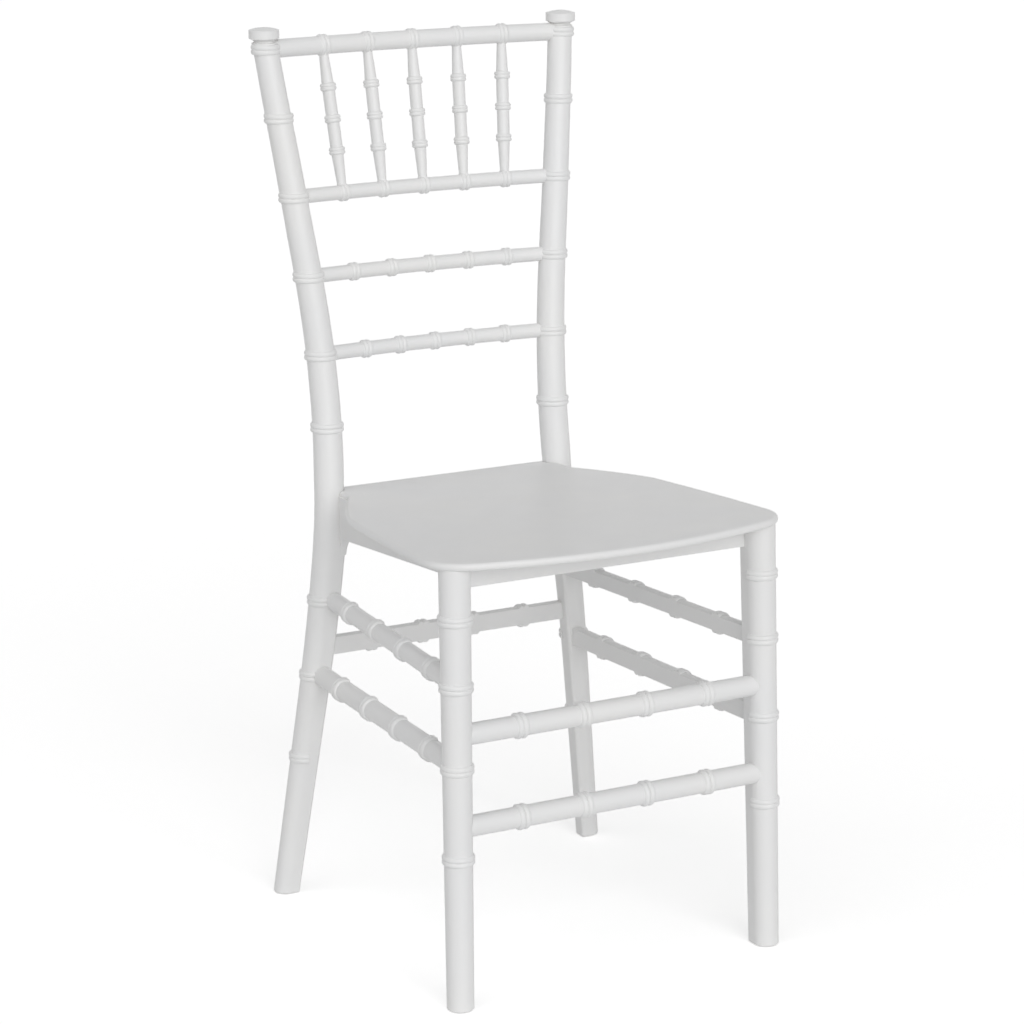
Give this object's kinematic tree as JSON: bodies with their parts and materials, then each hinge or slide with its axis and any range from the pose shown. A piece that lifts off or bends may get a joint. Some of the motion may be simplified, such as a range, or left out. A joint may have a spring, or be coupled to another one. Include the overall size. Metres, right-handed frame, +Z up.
{
  "type": "chair",
  "caption": "Armless white resin ballroom chair in the chiavari style: spindle back, ringed bamboo-like posts, legs and stretchers, and a thin contoured seat.",
  "frame": {"origin": "on the floor, under the middle of the chair's width and depth", "axes": "+X to the right as seen from the front, +Y to the back of the chair, +Z up"},
  "size_m": [0.3972, 0.4736, 0.9144],
  "materials": {
    "frame_resin": "satin white moulded resin",
    "seat_resin": "satin white moulded resin",
    "glide_plastic": "matt off-white plastic",
    "screw_steel": "zinc-plated steel"
  },
  "bodies": {
    "root": {"back_post_left": "frame_resin", "back_post_right": "frame_resin", "front_leg_left": "frame_resin", "front_leg_right": "frame_resin", "finial_left": "frame_resin", "finial_right": "frame_resin", "crest_rail": "frame_resin", "spindle_rail": "frame_resin", "back_slat_upper": "frame_resin", "back_slat_lower": "frame_resin", "spindle_1": "frame_resin", "spindle_2": "frame_resin", "spindle_3": "frame_resin", "spindle_4": "frame_resin", "spindle_5": "frame_resin", "seat_shell": "seat_resin", "front_apron": "frame_resin", "rear_apron": "frame_resin", "side_apron_left": "frame_resin", "side_apron_right": "frame_resin", "front_stretcher_upper": "frame_resin", "front_stretcher_lower": "frame_resin", "rear_stretcher": "frame_resin", "side_stretcher_upper_left": "frame_resin", "side_stretcher_upper_right": "frame_resin", "side_stretcher_lower_left": "frame_resin", "side_stretcher_lower_right": "frame_resin", "foot_glide_front_left": "glide_plastic", "foot_glide_front_right": "glide_plastic", "foot_glide_back_left": "glide_plastic", "foot_glide_back_right": "glide_plastic", "seat_screws": "screw_steel"}
  },
  "joints": []
}
